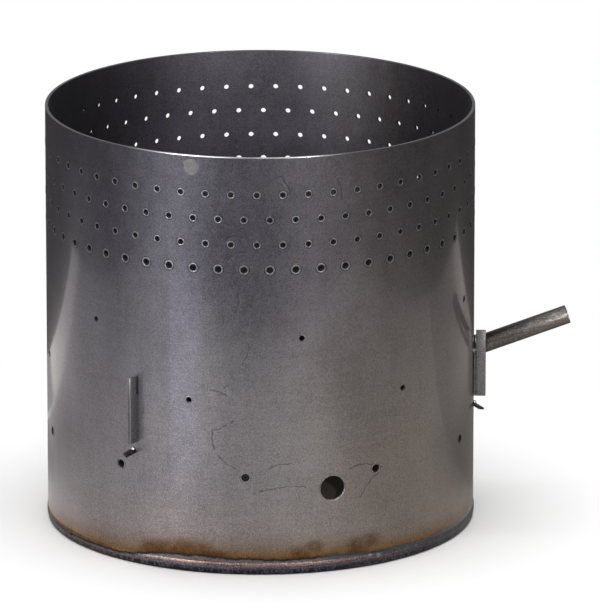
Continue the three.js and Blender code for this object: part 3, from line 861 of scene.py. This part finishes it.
def burnt_and_shaded_inside(sheet, place, height, inside, colour):
    """Brown heat beside the seam. On the inside, a lighter patch of painted light in the middle of the
    back wall below the rim, and sooty black mixed with painted shade: darker towards the sides, just under
    the rim, round azimuth 160 and deep down.
    """
    by_seam = sheet.times(sheet.ramp(facing(sheet, place, SEAM_AZIMUTH), 0.955, 0.986),
                          sheet.ramp(sheet.noise(place, (60, 60, 25), 3), 0.3, 0.7), 0.55)
    colour = sheet.tinge(by_seam, colour, (0.72, 0.50, 0.33))
    beside = sheet.math("ABSOLUTE", sheet.along("X", place))
    # Painted light: a lighter patch in the middle of the inner back wall, below the rim.
    lit_back_patch = sheet.times(sheet.ramp(height, RIM - 24 * MM, RIM - 46 * MM),
                        sheet.ramp(beside, 0.85 * RADIUS, 0.45 * RADIUS), inside)
    colour = sheet.tinge(lit_back_patch, colour, (1.42, 1.42, 1.46))
    # Sooty black with painted shade: darker towards the sides, just under the rim, round azimuth 160 and
    # deep down.
    soot_and_shade = sheet.plus(sheet.ramp(beside, 0.35 * RADIUS, 0.95 * RADIUS, 0.04, 0.62),
                      sheet.ramp(height, RIM - 26 * MM, RIM - 6 * MM, 0.0, 0.10),
                      sheet.ramp(facing(sheet, place, 160), 0.93, 0.985, 0.0, 0.25))
    soot_and_shade = sheet.highest(soot_and_shade, sheet.ramp(height, 100 * MM, 50 * MM, 0.0, 0.92))
    return sheet.mix(sheet.times(inside, soot_and_shade), colour, (0.008, 0.0075, 0.007))


def wall_paint():
    """Rolled wall: mill steel with scratches, stains, heat below with a painted highlight band over the
    bead, sooty black with painted shade and painted light inside, and a rim painted bright in front as a
    highlight and near black at its sides as shade.
    """
    paint, sheet, shader, place, grain = new_metal(
        "mill_steel_wall", (0.085, 0.081, 0.081), (0.178, 0.171, 0.172), 0.36, 0.7, metal=0.92, film=0.6)
    height = sheet.along("Z", place)
    wobble = sheet.swing(sheet.noise(place, 350, 2), 2.5 * MM)
    marks = scratches(sheet, place, wobble)
    out = sheet.vector("LENGTH", sheet.vector("MULTIPLY", place, (1, 1, 0)))
    inside = sheet.ramp(out, RADIUS - 0.8 * MM, RADIUS - 0.6 * MM, 1.0, 0.0)
    colour = rolled_colour(sheet, place, height, grain["Colour"])
    colour = sheet.mix(sheet.times(marks, 0.9), colour, (0.018, 0.018, 0.022))
    colour = stained(sheet, place, wobble, colour)
    colour = burnt_and_shaded_inside(sheet, place, height, inside, colour)
    heat = use(sheet, HEAT, Place=place, Metal=colour, Wander=1.0)
    rim = sheet.ramp(height, RIM - 0.5 * MM, RIM - 0.15 * MM)
    # Painted light on the rim: bright in front as a highlight, near black at the sides as shade.
    rim_highlight = sheet.times(sheet.ramp(facing(sheet, place, -8), 0.84, 0.93),
                          sheet.ramp(sheet.noise(place, 30, 3), 0.40, 0.56, 0.3, 1.0))
    edge = sheet.mix(rim_highlight, (0.05, 0.05, 0.053), (0.40, 0.40, 0.42))
    film = sheet.times(sheet.ramp(heat["Heat"], 0.0, 1.0, 0.6, 0.1), sheet.unless(rim))
    sheet.feed(shader.inputs["Coat Weight"], film)
    rough = sheet.plus(grain["Roughness"], sheet.times(marks, 0.2), sheet.times(heat["Heat"], -0.08))
    rough = sheet.math("ADD", rough, sheet.times(inside, 0.12), clamp=True)
    relief = sheet.plus(grain["Relief"], sheet.times(marks, -2.0))
    finish_metal(sheet, shader, grain, sheet.mix(rim, heat["Colour"], edge), rough, relief, 0.04 * MM)
    return paint


def lip_paint():
    """Punched edges: a crest painted bright, partly scuffed bare metal and partly painted highlight, on a
    skirt painted near black as shade.
    """
    paint, sheet, shader, place, grain = new_metal(
        "punched_lip_steel", (0.004, 0.004, 0.0045), (0.018, 0.0175, 0.018), 0.42, 0.5, metal=0.92)
    shader.inputs["Specular IOR Level"].default_value = 0.15
    # Painted highlight with scuffing: 1 on the crest, 0 on the skirt, whose dark colour is painted shade.
    wear_and_highlight = sheet.add("ShaderNodeAttribute", attribute_name="wear_and_highlight").outputs["Fac"]
    patchy = sheet.ramp(sheet.noise(place, 700, 2), 0.3, 0.6, 0.35, 1.0)
    crest = sheet.times(sheet.ramp(wear_and_highlight, 0.25, 0.8), patchy)
    sheet.feed(shader.inputs["Metallic"], sheet.ramp(crest, 0.0, 0.5, 0.1, 0.92))
    finish_metal(sheet, shader, grain, sheet.mix(crest, grain["Colour"], (0.16, 0.158, 0.165)),
                 sheet.ramp(crest, 0.0, 1.0, 0.75, 0.38))
    return paint


def bracket_paint():
    """Sheared bar: the plates' end faces painted near black, partly saw marks and partly painted shade,
    and their end corners painted light, partly scuffing and partly painted highlight.
    """
    paint, sheet, shader, place, grain = new_metal(
        "bracket_bar_steel", (0.08, 0.078, 0.079), (0.215, 0.208, 0.21), 0.48, 0.9)
    flat = sheet.vector("MULTIPLY", place, (1, 1, 0))
    tip = RADIUS + BRACKET["reach"]
    # Painted shade on the plates' end faces, lined like saw marks.
    end = sheet.ramp(sheet.vector("LENGTH", flat), tip - 0.22 * MM, tip - 0.1 * MM)
    lines = sheet.ramp(sheet.noise(place, (2400, 2400, 40), 2), 0.40, 0.60, 0.30, 0.62)
    colour = sheet.mix(sheet.times(end, sheet.unless(lines)), grain["Colour"], (0.012, 0.011, 0.012))
    # Painted highlight along the plates' end corners, partly scuffing.
    wear_and_highlight = 0.0
    for azimuth in BRACKETS:
        for aside in (-1, 1):
            corner = turned_to(azimuth) @ Vector((tip, aside * BRACKET["thick"] / 2, 0))
            gap = sheet.vector("DISTANCE", flat, corner)
            wear_and_highlight = sheet.highest(wear_and_highlight, sheet.ramp(gap, 0.5 * MM, 0.2 * MM))
    rub_and_sheen = sheet.ramp(sheet.noise(place, (200, 200, 60), 3), 0.35, 0.6, 0.2, 0.75)
    colour = sheet.mix(sheet.times(wear_and_highlight, rub_and_sheen), colour, (0.17, 0.168, 0.17))
    finish_metal(sheet, shader, grain, colour)
    return paint


def tube_paint():
    """Drawn tube: grey with brown heat, streaked along its length, with painted shade along its upper side
    and a darker line just above its middle.
    """
    paint, sheet, shader, place, grain = new_metal(
        "drawn_tube_steel", (0.055, 0.048, 0.043), (0.20, 0.182, 0.168), 0.36, 0.8)
    run = along_inlet()
    across = run.col[0].xyz
    across = -across if across.z < 0 else across
    above = sheet.math("SUBTRACT", sheet.vector("DOT_PRODUCT", place, across),
                       across.dot(run.translation))
    above = sheet.plus(above, sheet.swing(sheet.noise(place, (90, 700, 700), 3, 0.6), 3 * MM))
    # Painted shade: the upper side of the tube is darkened, and a thin line just above its middle.
    top = sheet.ramp(above, 2.0 * MM, 3.6 * MM, 0.0, 0.82)
    from_band = sheet.math("ABSOLUTE", sheet.math("SUBTRACT", above, 0.6 * MM))
    dark = sheet.highest(top, sheet.ramp(from_band, 0.9 * MM, 0.2 * MM, 0.0, 0.35))
    finish_metal(sheet, shader, grain, sheet.mix(dark, grain["Colour"], (0.012, 0.010, 0.010)))
    return paint


def bead_paint():
    """Heat-coloured weld metal round the foot, with the heat effect's painted highlight band, drawn out in
    lines, with dark burrs below.
    """
    paint, sheet, shader, place, grain = new_metal(
        "foot_weld_metal", (0.05, 0.048, 0.05), (0.19, 0.182, 0.19), 0.47, 0.9, metal=0.95, film=0.04)
    heat = use(sheet, HEAT, Place=place, Metal=grain["Colour"], Wander=0.6)
    drawn = sheet.ramp(sheet.noise(place, (34, 34, 1500), 4, 0.7), 0.36, 0.62)
    streaked = sheet.mix(drawn, (0.52, 0.50, 0.52), (1.1, 1.06, 1.04))
    burrs = sheet.times(sheet.ramp(sheet.along("Z", place), 3.4 * MM, 2.0 * MM),
                        sheet.ramp(sheet.noise(place, (900, 900, 300), 2), 0.40, 0.56))
    streaked = sheet.mix(burrs, streaked, (0.20, 0.19, 0.20))
    finish_metal(sheet, shader, grain, sheet.mix(1.0, heat["Colour"], streaked, "MULTIPLY"),
                 depth=0.09 * MM, strength=0.8)
    return paint


# ---------------- build

wall_steel = wall_paint()
lip_steel = lip_paint()
# Very dark: painted shade of the deep inside of the pot.
floor_steel = plain_metal("floor_plate_steel", (0.012, 0.010, 0.008), (0.034, 0.029, 0.024), 0.5, 0.5)
bracket_steel = bracket_paint()
tab_steel = plain_metal("snipped_tab_steel", (0.007, 0.0065, 0.006), (0.035, 0.033, 0.031), 0.42, 0.9)
nugget_steel = plain_metal("bright_nugget_metal", (0.16, 0.16, 0.17), (0.5, 0.5, 0.52), 0.24, 0.4)
tube_steel = tube_paint()
weld_steel = plain_metal("dull_weld_metal", (0.045, 0.043, 0.045), (0.15, 0.145, 0.148), 0.38, 0.6)
# Very dark: painted shade of the deep inside of the pot.
dish_steel = plain_metal("pressed_dish_steel", (0.028, 0.023, 0.018), (0.07, 0.06, 0.05), 0.5, 0.5)
bead_steel = bead_paint()

fit(rolled_wall(), "pot", "mill_steel", wall_steel, "pot_shell")
fit(hole_lips("air_hole_lips", holes(AIR_ROWS), PUNCHED), "pot", "mill_steel", lip_steel)
fit(hole_lips("primary_hole_lips", holes(PRIMARY_ROWS), DRILLED), "pot", "mill_steel", lip_steel)
fit(hole_lips("lighting_hole_edge", [(LIGHTER["azimuth"], LIGHTER["height"], LIGHTER["hole"])],
              REAMED, 64), "pot", "mill_steel", lip_steel)
fit(foot_bead(), "pot", "weld_metal", bead_steel, "floor_weld")
fit(seam_bead(), "pot", "weld_metal", bead_steel, "seam_weld")
for number in (1, 2, 3):
    fit(bracket(number), "pot", "bracket_steel", bracket_steel, f"bracket_{number}")
    fit(stop_tab(number), "pot", "bracket_steel", tab_steel, f"stop_tab_{number}")
    fit(weld_copy(f"bracket_fillet_{number}", f"bracket_weld_{number}", 0.2 * MM, 0.12 * MM, 2.5 * MM),
        "pot", "weld_metal", weld_steel, f"bracket_weld_{number}")
    fit(weld_copy(f"tab_nugget_{number}", f"tab_weld_{number}", 0.16 * MM, 0.1 * MM, 1.5 * MM),
        "pot", "weld_metal", nugget_steel, f"tab_weld_{number}")
fit(inlet_tube(), "pot", "tube_steel", tube_steel, "inlet_tube")
fit(weld_copy("inlet_fillet", "inlet_weld", 0.25 * MM, 0.2 * MM, 2.5 * MM),
    "pot", "weld_metal", weld_steel, "inlet_weld")
fit(spreader_dish(), "spreader", "dish_steel", dish_steel, "spreader")
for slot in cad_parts["pot_floor"].material_slots:
    slot.material = floor_steel


# ---------------- studio

GROUND = CAD_LOW[2]
# Cards that only the metal shows: shades below 1 are painted shadows on the floor, and above 1 painted
# sunlit patches.
TONE_CARDS = [  # left, front, right and back edge; lift in millimetres; shade; how soft each edge is
    ("warm_card", (0.12, -0.50, 0.57, 0.03), 1.0, (0.86, 0.79, 0.73), (0.01, 0.01, 0.01, 0.01)),
    ("shadow_tan_card", (0.12, 0.03, 0.57, 0.36), 1.0, (0.56, 0.52, 0.49), (0.01, 0.01, 0.01, 0.01)),
    ("right_far_card", (0.33, 0.22, 0.535, 0.345), 1.8, (0.98, 0.90, 0.85), (0.06, 0.08, 0.01, 0.01)),
    ("right_card", (0.10, -0.05, 0.31, 0.37), 1.5, (0.20, 0.195, 0.19), (0.01, 0.11, 0.12, 0.01)),
    ("left_far_card", (-0.72, -0.20, -0.20, 0.165), 1.0, (0.80, 0.78, 0.81), (0.01, 0.06, 0.08, 0.01)),
    ("left_card", (-0.32, -0.05, -0.10, 0.165), 1.5, (0.52, 0.50, 0.51), (0.08, 0.14, 0.01, 0.02)),
    ("left_edge_card", (-0.17, 0.02, -0.10, 0.165), 1.8, (0.32, 0.31, 0.32), (0.03, 0.08, 0.01, 0.02)),
    ("sunlit_card", (-0.62, 0.148, -0.20, 0.30), 1.5, (1.55, 1.46, 1.43), (0.01, 0.03, 0.05, 0.01)),
    ("shaded_card", (-0.235, 0.155, -0.10, 0.34), 1.8, (0.36, 0.355, 0.37), (0.04, 0.02, 0.01, 0.01))]
DARK_CARD_OPENING = [   # each corner of the opening, front left first
    (-0.60, -0.52), (0.54, -0.50), (-0.57, 0.232), (0.535, 0.348)]
CAMERA_PLACE, CAMERA_AIM = (0, -4.2981, 1.3316), (0.0200, 0, 0.1082)
CAMERA_LENS = 520.55     # in millimetres, on film 36 mm wide


def flat_card(name, across, deep, place, turn=(0, 0, 0)):
    bpy.ops.mesh.primitive_plane_add(size=1, location=place, rotation=turn)
    card = fresh(name)
    card.scale = (across, deep, 1)
    return settle(card)


def card_sheet(card, name):
    """Gives a studio card an empty material and returns its sheet."""
    paint = bpy.data.materials.new(name)
    paint.use_nodes = True
    paint.node_tree.nodes.clear()
    card.data.materials.append(paint)
    return Sheet(paint.node_tree)


def show_both(sheet, share, first, second):
    """Sends a mix of two shader nodes to the surface."""
    both = sheet.add("ShaderNodeMixShader")
    for socket, value in zip(both.inputs, (share, first.outputs[0], second.outputs[0])):
        sheet.feed(socket, value)
    sheet.feed(sheet.add("ShaderNodeOutputMaterial").inputs[0], both.outputs[0])


def looked_at(sheet):
    """1 where something is seen directly, mirrored or through glass, and 0 where it only lights."""
    path = sheet.add("ShaderNodeLightPath").outputs
    return sheet.highest(path["Is Camera Ray"], path["Is Glossy Ray"], path["Is Transmission Ray"])


def studio_floor():
    """Pale paper that keeps the pot's shadow and turns plain white further out."""
    floor = flat_card("studio_floor", 12, 12, (0, 0, GROUND))
    sheet = card_sheet(floor, "studio_paper")
    far = sheet.vector("LENGTH", sheet.add("ShaderNodeTexCoord").outputs["Object"])
    white = sheet.times(looked_at(sheet), sheet.ramp(far, 0.13, 0.30))
    show_both(sheet, white, sheet.add("ShaderNodeBsdfDiffuse", Color=(0.93, 0.93, 0.93, 1)),
              sheet.add("ShaderNodeEmission", Color=(1, 1, 1, 1), Strength=1.0))
    floor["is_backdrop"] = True


def shown_only_in_metal(card, shade, fades=()):
    """Makes a card that the camera doesn't see, but polished metal does.
    Each fade is (axis, edge, how far the card takes to reach its full tone inside that edge)."""
    sheet = card_sheet(card, card.name)
    place = sheet.add("ShaderNodeTexCoord").outputs["Object"]
    cover = 1.0
    for axis, edge, inwards in fades:
        cover = sheet.times(cover, sheet.ramp(sheet.along(axis, place), edge, edge + inwards))
    show_both(sheet, cover, sheet.add("ShaderNodeBsdfTransparent"),
              sheet.add("ShaderNodeEmission", Color=(*shade, 1), Strength=1.0))
    card.visible_camera = False
    card.visible_diffuse = False
    card.visible_shadow = False
    card.visible_transmission = False
    card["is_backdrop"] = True


def tone_card(name, edges, lift, shade, soft):
    """Glowing card lying beside the pot, with soft edges: a patch of painted shadow on the floor, or of
    painted sunlight when its shade is above 1, that only the metal shows.
    """
    left, front, right, back = edges
    card = flat_card(name, right - left, back - front,
                     ((left + right) / 2, (front + back) / 2, GROUND + lift * MM))
    shown_only_in_metal(card, shade, [("X", left, soft[0]), ("Y", front, soft[1]),
                                      ("X", right, -soft[2]), ("Y", back, -soft[3])])


def dark_card():
    """Black card round the pot with an opening in it, so that the steel has something to show."""
    card = flat_card("dark_card", 5, 5, (0, 0, GROUND + 2 * MM))
    open_up(card)
    select_everything()
    bpy.ops.mesh.inset(thickness=1.9)
    mark(card, "FACE", lambda f: abs(middle(f).x) < 0.01 and abs(middle(f).y) < 0.01)
    bpy.ops.mesh.delete(type="FACE")
    for x, y in DARK_CARD_OPENING:
        mark(card, "VERT", lambda v: v.co.length < 1.2 and v.co.x * x > 0 and v.co.y * y > 0
             and min(abs(v.co.x), abs(v.co.y)) > 0.2)
        now = [v.co.copy() for v in bmesh.from_edit_mesh(card.data).verts if v.select][0]
        bpy.ops.transform.translate(value=(x - now.x, y - now.y, 0))
    close_up()
    shown_only_in_metal(card, (0.05, 0.047, 0.045))


def back_flag():
    """Upright grey card far behind, which keeps the white backdrop off the pot's two edges."""
    flag = flat_card("back_flag", 4.4, 0.7, (0, 1.6, GROUND + 0.35), (math.pi / 2, 0, 0))
    shown_only_in_metal(flag, (0.30, 0.30, 0.31))


def aimed(name, data, place, at):
    """Adds a lamp or camera that looks from a place at a point."""
    looker = bpy.data.objects.new(name, data)
    bpy.context.scene.collection.objects.link(looker)
    looker.location = place
    looker.rotation_euler = (Vector(at) - looker.location).to_track_quat("-Z", "Y").to_euler()
    return looker


def soft_box(name, azimuth, elevation, distance, size, power, colour=(1, 1, 1), lights_all=True):
    """Lamp aimed at the middle of the pot."""
    data = bpy.data.lights.new(name, "AREA")
    data.shape = "RECTANGLE"
    data.size, data.size_y = size
    data.energy = power
    data.color = colour
    a, e = math.radians(azimuth), math.radians(elevation)
    way = Vector((math.sin(a) * math.cos(e), -math.cos(a) * math.cos(e), math.sin(e)))
    aimed(name, data, way * distance, (0, 0, 0.1)).visible_diffuse = lights_all


def studio_world():
    """White wherever it is looked at, and a low even light on everything."""
    world = bpy.data.worlds.new("studio")
    bpy.context.scene.world = world
    world.use_nodes = True
    sheet = Sheet(world.node_tree)
    backdrop = world.node_tree.nodes["Background"].inputs
    sheet.feed(backdrop["Strength"], sheet.ramp(looked_at(sheet), 0.0, 1.0, 0.4, 1.0))
    sheet.feed(backdrop["Color"], (1, 1, 1, 1))


def camera():
    """Long lens a little above the rim, aimed slightly beside the pot's middle."""
    data = bpy.data.cameras.new("camera")
    data.sensor_fit = "AUTO"
    data.sensor_width = 36
    data.lens = CAMERA_LENS
    data.clip_end = 50
    bpy.context.scene.camera = aimed("camera", data, CAMERA_PLACE, CAMERA_AIM)


studio_floor()
dark_card()
for tone in TONE_CARDS:
    tone_card(*tone)
back_flag()
soft_box("shine_left", -40, 16, 2.6, (0.36, 1.0), 106, (0.93, 0.95, 1.0), lights_all=False)
soft_box("shine_right", 25, 16, 2.6, (0.16, 1.0), 42, (0.98, 0.98, 1.0), lights_all=False)
soft_box("overhead", 0, 88, 2.4, (2.2, 2.2), 62)
studio_world()
camera()
bpy.context.scene.view_settings.view_transform = "Standard"
